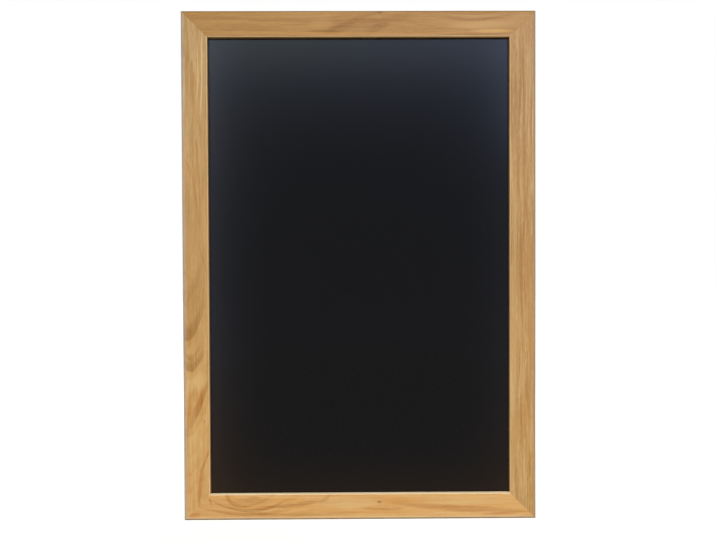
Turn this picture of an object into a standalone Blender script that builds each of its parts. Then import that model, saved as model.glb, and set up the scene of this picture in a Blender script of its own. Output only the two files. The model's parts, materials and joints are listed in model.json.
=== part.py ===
"""A wall chalkboard: a mitred wooden frame, a black chalk panel in its rebate and the fittings at its back.

The front faces -Y, +Z is up, and the wall is the plane y = 0 behind the board.
The origin is the middle of the board on that wall plane. All sizes are in metres, angles in degrees.
"""

import math

import bmesh
import bpy
from mathutils import Matrix, Vector

# Board outline
BOARD_WIDTH = 0.600
BOARD_HEIGHT = 0.864

# Fits shared by the joints between two pieces
SEAT_GAP = 0.0003
EDGE_PLAY = 0.0015

# Boards held in the rebate
PANEL_THICKNESS = 0.0032
BACKING_THICKNESS = 0.0030
BOARD_EASE = 0.0004

# Moulding section
RAIL_FACE = 0.045
LIP_THICKNESS = 0.008
REBATE_WIDTH = 0.010
BACK_COVER = 0.0043
OUTER_ROUND = 0.006
LIP_ROUND = 0.0025
BACK_EASE = 0.0008

# Flat retaining points that hold both boards in
POINT_THICKNESS = 0.0006
POINT_WIDTH = 0.008
POINT_BITE = 0.007
POINT_TAIL = 0.011
POINT_TAIL_ROUND = 0.002
POINT_TIP_LENGTH = 0.003
POINT_TIP_WIDTH = 0.002
POINTS_PER_STILE = 4
POINTS_PER_RAIL = 3

# Corner wedges driven into the back of each mitre
WEDGE_LEG = 0.006
WEDGE_THICKNESS = 0.0008
WEDGE_HEIGHT = 0.010
WEDGE_SINK = 0.0004
WEDGE_FROM_EDGE = 0.010
WEDGE_FROM_REBATE = 0.013

# Swinging wire rings
RING_WIRE = 0.0026
RING_CORNER = 0.0024
RING_SIDE = 0.0042
RING_SIDE_PLAY = 0.0005

# Pan-head screws
SCREW_SHANK = 0.0030
SCREW_HEAD = 0.0064
SCREW_HEAD_HEIGHT = 0.0021
SCREW_RIM_HEIGHT = 0.0007
SCREW_CROWN = 0.0036
SCREW_LENGTH = 0.0125
SCREW_TIP = 0.0030
CROSS_SPAN = 0.0034
CROSS_SLOT = 0.0009
CROSS_SLOT_END = 0.0006
CROSS_DEPTH = 0.0011

# Strap hangers
HANGER_DROP = 0.130
STRAP_WIDTH = 0.012
STRAP_SHEET = 0.0009
STRAP_END_LAND = 0.002
STRAP_END_MARGIN = 0.0065
LOOP_NECK = 0.005
LOOP_TURN = 220
SCREW_CLEAR_OF_RING = 0.0025
SCREW_PITCH = 0.012

# Wall bumpers
WALL_CLEARANCE = 0.0006
BUMPER_DIAMETER = 0.013
BUMPER_TAPER = 0.0010
BUMPER_ROUND = 0.0008
BUMPER_RISE = 0.062

# Number of flats along curved edges
OUTER_STEPS = 8
LIP_STEPS = 5
SMALL_ROUND_STEPS = 5
RING_TOP_STEPS = 18
TURNED_STEPS = 24
WIRE_RESOLUTION = 4
SHARP_ANGLE = 32

# Depths in the moulding, measured back from its face
PANEL_FRONT = LIP_THICKNESS + SEAT_GAP
BACKING_FRONT = PANEL_FRONT + PANEL_THICKNESS + SEAT_GAP
POINT_FRONT = BACKING_FRONT + BACKING_THICKNESS + SEAT_GAP
RAIL_DEPTH = POINT_FRONT + POINT_THICKNESS + BACK_COVER
BACK_FACE = RAIL_FACE - REBATE_WIDTH

# Hanger sizes that follow from the ring, the strap and the screws
LOOP_HOLE = RING_WIRE / 2 + SEAT_GAP
LOOP_OUTER = LOOP_HOLE + STRAP_SHEET
RING_BAR = STRAP_WIDTH / 2 + RING_SIDE_PLAY
RING_HALF_SPAN = RING_BAR + RING_CORNER
RING_REACH = RING_CORNER + RING_SIDE + RING_HALF_SPAN
RING_LEAN = math.asin((LOOP_OUTER - RING_WIRE / 2) / RING_REACH)
UPPER_SCREW_STEP = RING_REACH + RING_WIRE / 2 + SCREW_CLEAR_OF_RING + SCREW_HEAD / 2
LOWER_SCREW_STEP = UPPER_SCREW_STEP + SCREW_PITCH
STRAP_LENGTH = LOWER_SCREW_STEP + STRAP_END_MARGIN
BUMPER_HEIGHT = 2 * LOOP_OUTER + WALL_CLEARANCE

# Places in the board's frame
FRAME_BACK_Y = -(SEAT_GAP + BUMPER_HEIGHT)
FRAME_FRONT_Y = FRAME_BACK_Y - RAIL_DEPTH
RING_AXIS_Y = FRAME_BACK_Y + SEAT_GAP + LOOP_OUTER
RING_AXIS_Z = BOARD_HEIGHT / 2 - HANGER_DROP
SCREW_SEAT_Y = FRAME_BACK_Y + 2 * STRAP_SHEET + 2 * SEAT_GAP
STILE_MIDDLE_X = BOARD_WIDTH / 2 - BACK_FACE / 2
BUMPER_Z = BUMPER_RISE - BOARD_HEIGHT / 2

RIGHT = Vector((1.0, 0.0, 0.0))
BACKWARD = Vector((0.0, 1.0, 0.0))
UP = Vector((0.0, 0.0, 1.0))

# Each side: the way inward, its distance from the middle, its outer length and its number of points
SIDES = {
    "top_rail": (-UP, BOARD_HEIGHT / 2, BOARD_WIDTH, POINTS_PER_RAIL),
    "bottom_rail": (UP, BOARD_HEIGHT / 2, BOARD_WIDTH, POINTS_PER_RAIL),
    "left_stile": (RIGHT, BOARD_WIDTH / 2, BOARD_HEIGHT, POINTS_PER_STILE),
    "right_stile": (-RIGHT, BOARD_WIDTH / 2, BOARD_HEIGHT, POINTS_PER_STILE),
}

# Each corner: the two sides that meet there and the ways inward along them
CORNERS = {
    "top_left": (("top_rail", "left_stile"), RIGHT, -UP),
    "top_right": (("top_rail", "right_stile"), -RIGHT, -UP),
    "bottom_left": (("bottom_rail", "left_stile"), RIGHT, UP),
    "bottom_right": (("bottom_rail", "right_stile"), -RIGHT, UP),
}


# Scene and placing


def clear_scene():
    """Start from an empty file."""
    for item in list(bpy.data.objects):
        bpy.data.objects.remove(item, do_unlink=True)


def new_collection(name):
    """A collection linked to the scene."""
    group = bpy.data.collections.new(name)
    bpy.context.scene.collection.children.link(group)
    return group


def new_material(name, colour, roughness, metallic):
    """A plain Principled material."""
    made = bpy.data.materials.new(name)
    made.use_nodes = True
    shader = made.node_tree.nodes["Principled BSDF"]
    shader.inputs["Base Color"].default_value = (*colour, 1.0)
    shader.inputs["Roughness"].default_value = roughness
    shader.inputs["Metallic"].default_value = metallic
    return made


def new_empty(name, group, parent, location):
    """An empty that carries a sub-assembly."""
    carrier = bpy.data.objects.new(name, None)
    group.objects.link(carrier)
    carrier.parent = parent
    carrier.location = location
    bpy.context.view_layer.update()
    return carrier


def place(item, group, matrix, parent=None):
    """Link an object to a collection and set where it stands."""
    group.objects.link(item)
    item.parent = parent
    item.matrix_world = matrix
    return item


def axes_matrix(x_axis, y_axis, z_axis, origin):
    """The placing matrix whose columns are three axes and an origin."""
    turn = Matrix((x_axis, y_axis, z_axis)).transposed().to_4x4()
    return Matrix.Translation(origin) @ turn


def standing_on_back(origin):
    """The placing matrix that turns local Z to face backward, away from the frame."""
    return axes_matrix(RIGHT, -UP, BACKWARD, Vector(origin))


# Shapes


def arc(centre, radius, start, end, steps):
    """Points along an arc, angles in degrees."""
    points = []
    for step in range(steps + 1):
        angle = math.radians(start + (end - start) * step / steps)
        points.append((centre[0] + radius * math.cos(angle), centre[1] + radius * math.sin(angle)))
    return points


def mesh_from_curve(name, curve):
    """Turn a curve into a welded mesh object, with each flat cap as one face."""
    carrier = bpy.data.objects.new(name + "_curve", curve)
    bpy.context.scene.collection.objects.link(carrier)
    graph = bpy.context.evaluated_depsgraph_get()
    mesh = bpy.data.meshes.new_from_object(carrier.evaluated_get(graph))
    mesh.name = name
    work = bmesh.new()
    work.from_mesh(mesh)
    bmesh.ops.remove_doubles(work, verts=work.verts, dist=0.000001)
    bmesh.ops.dissolve_limit(work, angle_limit=math.radians(0.05), verts=work.verts, edges=work.edges)
    bmesh.ops.recalc_face_normals(work, faces=work.faces)
    work.to_mesh(mesh)
    work.free()
    made = bpy.data.objects.new(name, mesh)
    made.matrix_world = carrier.matrix_world
    bpy.data.objects.remove(carrier, do_unlink=True)
    bpy.data.curves.remove(curve)
    return made


def add_loop(curve, points):
    """Add a closed straight-sided spline through 3D points."""
    spline = curve.splines.new("POLY")
    spline.points.add(len(points) - 1)
    for corner, point in zip(spline.points, points):
        corner.co = (*point, 1.0)
    spline.use_cyclic_u = True


def flat_prism(name, loops, thickness):
    """A flat outline, with any holes, given a thickness along local Z about its middle."""
    curve = bpy.data.curves.new(name, "CURVE")
    curve.dimensions = "2D"
    curve.fill_mode = "BOTH"
    curve.extrude = thickness / 2
    for loop in loops:
        add_loop(curve, [(across, along, 0.0) for across, along in loop])
    return mesh_from_curve(name, curve)


def wire_loop(name, points, wire):
    """A closed loop of round wire through points in local XZ."""
    curve = bpy.data.curves.new(name, "CURVE")
    curve.dimensions = "3D"
    curve.bevel_depth = wire / 2
    curve.bevel_resolution = WIRE_RESOLUTION
    curve.use_fill_caps = True
    add_loop(curve, [(across, 0.0, up) for across, up in points])
    return mesh_from_curve(name, curve)


def turned(name, profile):
    """A solid of revolution about local Z from a profile that runs down its outer side."""
    mesh = bpy.data.meshes.new(name)
    work = bmesh.new()
    corners = [work.verts.new((radius, 0.0, height)) for radius, height in profile]
    for first, second in zip(corners, corners[1:]):
        work.edges.new((first, second))
    work.to_mesh(mesh)
    work.free()
    made = bpy.data.objects.new(name, mesh)
    spin = made.modifiers.new("turn", "SCREW")
    spin.steps = TURNED_STEPS
    spin.render_steps = TURNED_STEPS
    spin.use_merge_vertices = True
    spin.merge_threshold = 0.00001
    spin.use_smooth_shade = True
    return made


def block(name, size, centre=(0.0, 0.0, 0.0)):
    """A rectangular block with its true size in the mesh."""
    mesh = bpy.data.meshes.new(name)
    work = bmesh.new()
    bmesh.ops.create_cube(work, size=1.0)
    bmesh.ops.scale(work, vec=Vector(size), verts=work.verts)
    bmesh.ops.translate(work, vec=Vector(centre), verts=work.verts)
    work.to_mesh(mesh)
    work.free()
    return bpy.data.objects.new(name, mesh)


def cylinder(name, radius, top, bottom):
    """A plain cylinder along local Z between two heights."""
    mesh = bpy.data.meshes.new(name)
    work = bmesh.new()
    bmesh.ops.create_cone(
        work,
        cap_ends=True,
        segments=TURNED_STEPS,
        radius1=radius,
        radius2=radius,
        depth=top - bottom,
        matrix=Matrix.Translation((0.0, 0.0, (top + bottom) / 2)),
    )
    work.to_mesh(mesh)
    work.free()
    return bpy.data.objects.new(name, mesh)


def dress(item, material):
    """Give a piece its material and smooth shading that breaks at its hard edges."""
    item.data.materials.append(material)
    item.data.shade_smooth()
    item.data.set_sharp_from_angle(angle=math.radians(SHARP_ANGLE))


def cut(items, cutter):
    """Take a cutter's shape out of each piece and hide the cutter."""
    cutter.hide_render = True
    cutter.display_type = "WIRE"
    for item in items:
        knife = item.modifiers.new("cut_" + cutter.name, "BOOLEAN")
        knife.operation = "DIFFERENCE"
        knife.solver = "EXACT"
        knife.object = cutter


# The moulding and its four lengths


def moulding_outline():
    """The section: first coordinate inward from the outer edge, second backward from the face."""
    outline = arc((OUTER_ROUND, OUTER_ROUND), OUTER_ROUND, 180, 270, OUTER_STEPS)
    outline += arc((RAIL_FACE - LIP_ROUND, LIP_ROUND), LIP_ROUND, 270, 360, LIP_STEPS)
    outline.append((RAIL_FACE, LIP_THICKNESS))
    outline.append((BACK_FACE, LIP_THICKNESS))
    outline.append((BACK_FACE, RAIL_DEPTH))
    outline.append((BACK_EASE, RAIL_DEPTH))
    outline.append((0.0, RAIL_DEPTH - BACK_EASE))
    return outline


def mitred_length(name, length):
    """A length of moulding with both ends cut back at 45 degrees and half a gap taken off each."""
    made = flat_prism(name, [moulding_outline()], length)
    pull_back = SEAT_GAP * math.sqrt(2) / 2
    for vertex in made.data.vertices:
        reach = length / 2 - vertex.co.x - pull_back
        vertex.co.z = math.copysign(reach, vertex.co.z)
    return made


def build_sides(group, root, material):
    """The four lengths of the frame, each with its outer edge at its distance from the middle."""
    sides = {}
    for name, (inward, distance, length, _) in SIDES.items():
        side = mitred_length(name, length)
        dress(side, material)
        origin = BACKWARD * FRAME_FRONT_Y - inward * distance
        sides[name] = place(side, group, axes_matrix(inward, BACKWARD, inward.cross(BACKWARD), origin), root)
    return sides


# The two boards in the rebate


def build_board(name, front, thickness, group, root, material):
    """A board that stands on the lower rebate wall, a seat gap behind what is in front of it."""
    width = BOARD_WIDTH - 2 * BACK_FACE - 2 * EDGE_PLAY
    height = BOARD_HEIGHT - 2 * BACK_FACE - 2 * EDGE_PLAY
    board = block(name, (width, thickness, height))
    ease = board.modifiers.new("ease", "BEVEL")
    ease.width = BOARD_EASE
    ease.segments = 2
    dress(board, material)
    drop = EDGE_PLAY - SEAT_GAP
    middle = Vector((0.0, FRAME_FRONT_Y + front + thickness / 2, -drop))
    return place(board, group, Matrix.Translation(middle), root)


# Retaining points and their slots


def point_outline():
    """A flat point: +X goes into the wood from the rebate wall, the rounded tail lies on the backing."""
    half = POINT_WIDTH / 2
    tip = POINT_TIP_WIDTH / 2
    shoulder = POINT_BITE - POINT_TIP_LENGTH
    corner = POINT_TAIL_ROUND
    outline = [(POINT_BITE, -tip), (POINT_BITE, tip), (shoulder, half)]
    outline += arc((corner - POINT_TAIL, half - corner), corner, 90, 180, SMALL_ROUND_STEPS)
    outline += arc((corner - POINT_TAIL, corner - half), corner, 180, 270, SMALL_ROUND_STEPS)
    outline.append((shoulder, -half))
    return outline


def point_matrix(inward, distance, offset):
    """Where a point stands: its origin on the rebate wall, offset rightward or upward along the side."""
    outward = -inward
    along = BACKWARD.cross(outward)
    run = Vector(abs(part) for part in along)
    depth = FRAME_FRONT_Y + POINT_FRONT + POINT_THICKNESS / 2
    origin = outward * (distance - BACK_FACE) + run * offset + BACKWARD * depth
    return axes_matrix(outward, along, BACKWARD, origin)


def build_points(sides, group, root, cutters, material):
    """The retaining points of every side and the slots they are driven into."""
    slot_length = POINT_BITE + 2 * SEAT_GAP
    slot_size = (slot_length, POINT_WIDTH + 2 * SEAT_GAP, POINT_THICKNESS + 2 * SEAT_GAP)
    slot_centre = (POINT_BITE + SEAT_GAP - slot_length / 2, 0.0, 0.0)
    for side_name, (inward, distance, length, count) in SIDES.items():
        spread = length - 2 * RAIL_FACE
        for number in range(count):
            offset = spread * ((number + 0.5) / count - 0.5)
            stand = point_matrix(inward, distance, offset)
            name = side_name.split("_")[0] + "_point_" + str(number + 1)
            point = flat_prism(name, [point_outline()], POINT_THICKNESS)
            dress(point, material)
            place(point, group, stand, root)
            slot = place(block(name + "_slot", slot_size, slot_centre), cutters, stand)
            cut([sides[side_name]], slot)


# Corner wedges and their slots


def wedge_outline(margin):
    """A right-angled wedge with its corner on the mitre line, grown by a margin on every side."""
    near = -margin
    inner = WEDGE_THICKNESS + margin
    far = WEDGE_LEG + margin
    return [(near, near), (far, near), (far, inner), (inner, inner), (inner, far), (near, far)]


def wedge_matrix(along_rail, along_stile, inset, middle_y):
    """Where a wedge stands: its corner at an inset from both outer edges, its legs running inward."""
    origin = -along_rail * (BOARD_WIDTH / 2 - inset) - along_stile * (BOARD_HEIGHT / 2 - inset)
    origin += BACKWARD * middle_y
    return axes_matrix(along_rail, along_stile, along_rail.cross(along_stile), origin)


def build_wedges(sides, group, root, cutters, material):
    """Two wedges at each mitre and the slots they stand in."""
    insets = {"outer": WEDGE_FROM_EDGE, "inner": BACK_FACE - WEDGE_FROM_REBATE}
    top_y = FRAME_BACK_Y - WEDGE_SINK
    slot_height = WEDGE_SINK + WEDGE_HEIGHT + 2 * SEAT_GAP
    slot_middle = FRAME_BACK_Y + SEAT_GAP - slot_height / 2
    for corner, (names, along_rail, along_stile) in CORNERS.items():
        for label, inset in insets.items():
            wedge = flat_prism(corner + "_wedge_" + label, [wedge_outline(0.0)], WEDGE_HEIGHT)
            dress(wedge, material)
            place(wedge, group, wedge_matrix(along_rail, along_stile, inset, top_y - WEDGE_HEIGHT / 2), root)
            slot = flat_prism(corner + "_slot_" + label, [wedge_outline(SEAT_GAP)], slot_height)
            place(slot, cutters, wedge_matrix(along_rail, along_stile, inset, slot_middle))
            cut([sides[name] for name in names], slot)


# Hangers: strap, swinging ring and two screws


def strap_outline():
    """The folded strap from its side: first coordinate away from the frame, second up from the ring axis."""
    flat_back = 2 * STRAP_SHEET - LOOP_OUTER
    outline = [(-LOOP_OUTER, -STRAP_LENGTH)]
    outline += arc((0.0, 0.0), LOOP_OUTER, 180, 180 - LOOP_TURN, TURNED_STEPS)
    outline.append((flat_back, -LOOP_OUTER - LOOP_NECK))
    outline.append((flat_back, -STRAP_LENGTH))
    return outline


def round_strap_end(mesh):
    """Round the two corners at the strap's lower end."""
    work = bmesh.new()
    work.from_mesh(mesh)
    near = 0.000001
    corners = []
    for edge in work.edges:
        at_end = all(vert.co.y < near - STRAP_LENGTH for vert in edge.verts)
        across = abs(edge.verts[0].co.z - edge.verts[1].co.z)
        if at_end and across < near:
            corners.append(edge)
    radius = (STRAP_WIDTH - STRAP_END_LAND) / 2
    bmesh.ops.bevel(work, geom=corners, offset=radius, segments=SMALL_ROUND_STEPS, profile=0.5, affect="EDGES")
    work.to_mesh(mesh)
    work.free()


def build_strap(name, carrier, group, cutters, material):
    """A strap bent round the ring bar, with two screw holes and a rounded lower end."""
    hole = arc((0.0, 0.0), LOOP_HOLE, 0, 360, TURNED_STEPS)[:-1]
    strap = flat_prism(name, [strap_outline(), hole], STRAP_WIDTH)
    round_strap_end(strap.data)
    dress(strap, material)
    x_middle = carrier.location.x
    axis_point = Vector((x_middle, RING_AXIS_Y, RING_AXIS_Z))
    place(strap, group, axes_matrix(BACKWARD, UP, RIGHT, axis_point), carrier)
    for label, step in (("upper", UPPER_SCREW_STEP), ("lower", LOWER_SCREW_STEP)):
        radius = SCREW_SHANK / 2 + SEAT_GAP
        hole_cutter = cylinder(name + "_hole_" + label, radius, LOOP_OUTER, -LOOP_OUTER)
        place(hole_cutter, cutters, standing_on_back((x_middle, SCREW_SEAT_Y, RING_AXIS_Z - step)))
        cut([strap], hole_cutter)


def ring_points():
    """The centre line of a D-shaped ring: a straight bar through the strap, then round the top."""
    points = arc((RING_BAR, RING_CORNER), RING_CORNER, -90, 0, SMALL_ROUND_STEPS)
    points += arc((0.0, RING_CORNER + RING_SIDE), RING_HALF_SPAN, 0, 180, RING_TOP_STEPS)
    points += arc((-RING_BAR, RING_CORNER), RING_CORNER, 180, 270, SMALL_ROUND_STEPS)
    return points


def build_ring(name, carrier, group, material):
    """A ring whose origin lies on its swing axis, leaning on the back of the stile."""
    ring = wire_loop(name, ring_points(), RING_WIRE)
    dress(ring, material)
    axis_point = Matrix.Translation((carrier.location.x, RING_AXIS_Y, RING_AXIS_Z))
    place(ring, group, axis_point @ Matrix.Rotation(RING_LEAN, 4, "X"), carrier)


def screw_profile():
    """A pan head with a rounded shoulder over a plain shank with a tapered tip."""
    head = SCREW_HEAD / 2
    shank = SCREW_SHANK / 2
    crown = SCREW_CROWN / 2
    profile = [(0.0, SCREW_HEAD_HEIGHT)]
    for across, up in arc((0.0, 0.0), 1.0, 90, 0, SMALL_ROUND_STEPS):
        shoulder = crown + (head - crown) * across
        height = SCREW_RIM_HEIGHT + (SCREW_HEAD_HEIGHT - SCREW_RIM_HEIGHT) * up
        profile.append((shoulder, height))
    profile.append((head, 0.0))
    profile.append((shank, 0.0))
    profile.append((shank, SCREW_TIP - SCREW_LENGTH))
    profile.append((0.0, -SCREW_LENGTH))
    return profile


def cross_outline():
    """The cross-shaped driver recess, its four arms narrowing outward."""
    arm = Vector((CROSS_SPAN / 2, -CROSS_SLOT_END / 2))
    arm_end = Vector((CROSS_SPAN / 2, CROSS_SLOT_END / 2))
    inner_corner = Vector((CROSS_SLOT / 2, CROSS_SLOT / 2))
    outline = []
    for quarter in range(4):
        turn = Matrix.Rotation(math.radians(90 * quarter), 2)
        outline += [tuple(turn @ corner) for corner in (arm, arm_end, inner_corner)]
    return outline


def build_screw(name, z_middle, carrier, stile, group, cutters, material):
    """A screw through a strap into the stile, and the pilot hole it sits in."""
    stand = standing_on_back((carrier.location.x, SCREW_SEAT_Y, z_middle))
    screw = turned(name, screw_profile())
    dress(screw, material)
    place(screw, group, stand, carrier)
    cross = flat_prism(name + "_cross", [cross_outline()], 2 * CROSS_DEPTH)
    cut([screw], place(cross, cutters, stand @ Matrix.Translation((0.0, 0.0, SCREW_HEAD_HEIGHT))))
    pilot = cylinder(name + "_pilot", SCREW_SHANK / 2 + SEAT_GAP, LOOP_OUTER, -SCREW_LENGTH - SEAT_GAP)
    cut([stile], place(pilot, cutters, stand))


def build_hangers(sides, group, root, cutters, material):
    """The hanger of each stile, carried by an empty on the ring's swing axis."""
    for label, side in (("left", -1.0), ("right", 1.0)):
        name = label + "_hanger"
        carrier = new_empty(name, group, root, (side * STILE_MIDDLE_X, RING_AXIS_Y, RING_AXIS_Z))
        build_strap(name + "_strap", carrier, group, cutters, material)
        build_ring(name + "_ring", carrier, group, material)
        for height, step in (("upper", UPPER_SCREW_STEP), ("lower", LOWER_SCREW_STEP)):
            screw_name = name + "_screw_" + height
            stile = sides[label + "_stile"]
            build_screw(screw_name, RING_AXIS_Z - step, carrier, stile, group, cutters, material)


# Wall bumpers


def bumper_profile():
    """A short tapered pad with a flat end and a rounded rim."""
    base = BUMPER_DIAMETER / 2
    end = base - BUMPER_TAPER
    lean = math.degrees(math.atan2(BUMPER_TAPER, BUMPER_HEIGHT))
    rim_centre = (end - BUMPER_ROUND, BUMPER_HEIGHT - BUMPER_ROUND)
    profile = [(0.0, BUMPER_HEIGHT)]
    profile += arc(rim_centre, BUMPER_ROUND, 90, lean, SMALL_ROUND_STEPS)
    profile.append((base, 0.0))
    profile.append((0.0, 0.0))
    return profile


def build_bumpers(group, root, material):
    """A bumper low on the back of each stile, its end on the wall plane."""
    for label, side in (("left", -1.0), ("right", 1.0)):
        bumper = turned(label + "_wall_bumper", bumper_profile())
        dress(bumper, material)
        origin = (side * STILE_MIDDLE_X, FRAME_BACK_Y + SEAT_GAP, BUMPER_Z)
        place(bumper, group, standing_on_back(origin), root)


def build():
    """The whole board."""
    clear_scene()
    group = new_collection("wall_chalkboard")
    cutters = new_collection("cutters")
    root = new_empty("board_origin", group, None, (0.0, 0.0, 0.0))
    wood = new_material("honey_wood", (0.46, 0.27, 0.11), 0.45, 0.0)
    chalk = new_material("chalk_coating", (0.011, 0.011, 0.011), 0.6, 0.0)
    hardboard = new_material("brown_hardboard", (0.19, 0.11, 0.06), 0.75, 0.0)
    galvanised = new_material("galvanised_steel", (0.45, 0.46, 0.47), 0.42, 1.0)
    plated = new_material("zinc_plated_steel", (0.56, 0.57, 0.58), 0.3, 1.0)
    rubber = new_material("grey_rubber", (0.06, 0.06, 0.06), 0.7, 0.0)
    sides = build_sides(group, root, wood)
    build_board("chalk_panel", PANEL_FRONT, PANEL_THICKNESS, group, root, chalk)
    build_board("backing_board", BACKING_FRONT, BACKING_THICKNESS, group, root, hardboard)
    build_points(sides, group, root, cutters, galvanised)
    build_wedges(sides, group, root, cutters, galvanised)
    build_hangers(sides, group, root, cutters, plated)
    build_bumpers(group, root, rubber)


build()
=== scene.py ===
"""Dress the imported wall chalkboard: honey wood mouldings, a black chalk panel and the fittings at its back.

The front faces -Y, +Z is up and the wall is the plane y = 0. Sizes are in metres unless words say otherwise.
"""

import json
import logging
import math
from collections.abc import Callable, Iterator
from contextlib import contextmanager
from dataclasses import dataclass
from enum import Enum
from functools import partial
from typing import Any

import bmesh
import bpy
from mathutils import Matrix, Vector


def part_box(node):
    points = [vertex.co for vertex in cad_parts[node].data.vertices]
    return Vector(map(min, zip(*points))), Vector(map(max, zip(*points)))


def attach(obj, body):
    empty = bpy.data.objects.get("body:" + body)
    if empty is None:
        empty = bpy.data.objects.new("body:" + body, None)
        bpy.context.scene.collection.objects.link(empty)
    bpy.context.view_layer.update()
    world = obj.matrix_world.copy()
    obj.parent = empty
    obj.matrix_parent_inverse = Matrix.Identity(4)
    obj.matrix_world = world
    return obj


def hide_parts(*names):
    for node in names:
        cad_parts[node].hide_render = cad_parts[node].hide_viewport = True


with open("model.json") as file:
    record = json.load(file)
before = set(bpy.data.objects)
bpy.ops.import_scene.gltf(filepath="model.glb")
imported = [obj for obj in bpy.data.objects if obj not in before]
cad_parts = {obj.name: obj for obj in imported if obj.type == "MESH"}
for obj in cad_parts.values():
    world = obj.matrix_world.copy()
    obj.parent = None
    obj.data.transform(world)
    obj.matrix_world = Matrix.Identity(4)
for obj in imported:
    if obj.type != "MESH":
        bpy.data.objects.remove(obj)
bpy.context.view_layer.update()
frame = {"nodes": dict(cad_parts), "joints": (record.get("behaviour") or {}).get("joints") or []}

Piece = bpy.types.Object
Material = bpy.types.Material
Node = bpy.types.Node
Add = Callable[..., Node]
Test = Callable[[Any], bool]
Words = tuple[str, str]

LOG = logging.getLogger("wall_chalkboard")
BOARD_BODY = "board"
MM = 0.001
# Two places closer than this are the same, and a face whose normal has this share of an axis looks along it
NEAR = 0.00002
FACING = 0.9

X_AXIS = Vector((1.0, 0.0, 0.0))
Y_AXIS = Vector((0.0, 1.0, 0.0))
Z_AXIS = Vector((0.0, 0.0, 1.0))
QUARTER = math.pi / 2

# Settings that many nodes share
SMOOTH = {"interpolation_type": "SMOOTHSTEP"}
COLOURS = {"data_type": "RGBA"}


# Colours and nodes


def linear(hex_code: str) -> tuple[float, ...]:
    """Turn an sRGB colour into linear light.

    Args:
        hex_code: the colour as a number sign and six hex digits.

    Returns:
        Red, green, blue and an alpha of 1.
    """
    values = [int(hex_code[start : start + 2], 16) / 255 for start in (1, 3, 5)]
    channels = [value / 12.92 if value <= 0.04045 else ((value + 0.055) / 1.055) ** 2.4 for value in values]
    return (*channels, 1.0)


def add_node(tree: bpy.types.NodeTree, kind: str, *inputs: Any, **settings: Any) -> Node:
    """Add one node with its settings and links.

    Args:
        tree: the node tree it joins.
        kind: the node's type name without its leading ShaderNode.
        inputs: what the inputs in use get, in order: a node, a socket or a constant.
        settings: what an input gets, by its name with low lines for spaces, or one of the node's own
            properties, which start with a small letter.

    Returns:
        The new node.
    """
    node = tree.nodes.new("ShaderNode" + kind)
    for key, value in settings.items():
        if key[0].islower():
            setattr(node, key, value)
    wanted = list(zip((socket for socket in node.inputs if socket.enabled), inputs, strict=False))
    wanted += [(node.inputs[key.replace("_", " ")], settings[key]) for key in settings if key[0].isupper()]
    for socket, value in wanted:
        if isinstance(value, Node):
            value = next(output for output in value.outputs if output.enabled)
        if isinstance(value, bpy.types.NodeSocket):
            tree.links.new(value, socket)
        else:
            socket.default_value = value
    return node


# Hand tools


class Pick(Enum):
    """What is selected in edit mode."""

    FACES = "FACE"
    EDGES = "EDGE"
    POINTS = "VERT"


def deselect() -> None:
    """Deselect every object, because an operator acts on all that is selected."""
    bpy.ops.object.select_all(action="DESELECT")


def only(piece: Piece) -> None:
    """Make one object the only selected one and the active one.

    Args:
        piece: the object to work on.
    """
    deselect()
    piece.select_set(True)
    bpy.context.view_layer.objects.active = piece


def named(name: str) -> Piece:
    """Name the object that was just added and put its place and size into its mesh.

    Args:
        name: the piece's name.

    Returns:
        The new object, at the origin.
    """
    piece = bpy.context.active_object
    piece.name = name
    piece.data.name = name
    only(piece)
    bpy.ops.object.transform_apply(location=True, rotation=True, scale=True)
    return piece


def block(name: str, low: Vector, high: Vector) -> Piece:
    """Add a block between two corners.

    Args:
        name: the piece's name.
        low: its lowest corner.
        high: its highest corner.

    Returns:
        The new object.
    """
    deselect()
    bpy.ops.mesh.primitive_cube_add(size=1.0, location=(low + high) / 2, scale=high - low)
    return named(name)


def turned_blank(name: str, centre: Vector, radius: float, depth: float, sides: int) -> Piece:
    """Add a round blank that stands on the board's back.

    Args:
        name: the piece's name.
        centre: its middle.
        radius: half its diameter.
        depth: its length along Y.
        sides: how many flats it is drawn with.

    Returns:
        The new object.
    """
    deselect()
    turn = (-QUARTER, 0.0, 0.0)
    shape = {"vertices": sides, "radius": radius, "depth": depth}
    bpy.ops.mesh.primitive_cylinder_add(location=centre, rotation=turn, **shape)
    return named(name)


@contextmanager
def editing(piece: Piece) -> Iterator[None]:
    """Hold one piece in edit mode.

    Args:
        piece: the object to work on.

    Yields:
        Nothing, while the piece is in edit mode.
    """
    only(piece)
    bpy.ops.object.mode_set(mode="EDIT")
    yield
    bpy.ops.object.mode_set(mode="OBJECT")


def pick(piece: Piece, what: Pick, test: Test) -> None:
    """Select, in edit mode, only what passes a test on its place or normal.

    Args:
        piece: the object in edit mode.
        what: faces, edges or points.
        test: says of each whether it is wanted.
    """
    bpy.ops.mesh.select_mode(type=what.value)
    bpy.ops.mesh.select_all(action="DESELECT")
    shape = bmesh.from_edit_mesh(piece.data)
    everything = {Pick.FACES: shape.faces, Pick.EDGES: shape.edges, Pick.POINTS: shape.verts}[what]
    wanted = [item for item in everything if test(item)]
    if not wanted:
        raise ValueError(f"nothing to work on in {piece.name}")
    for item in wanted:
        item.select_set(True)
    shape.select_flush_mode()
    bmesh.update_edit_mesh(piece.data)


def lies_at(*places: tuple[Vector, float]) -> Test:
    """Make the test for an edge that lies, end to end, at a place along each of some axes."""
    return lambda edge: all(abs(end.co.dot(axis) - at) < NEAR for end in edge.verts for axis, at in places)


def push(offset: Vector) -> None:
    """Extrude what is selected by an offset."""
    bpy.ops.mesh.extrude_region_move(TRANSFORM_OT_translate={"value": tuple(offset)})


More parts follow.
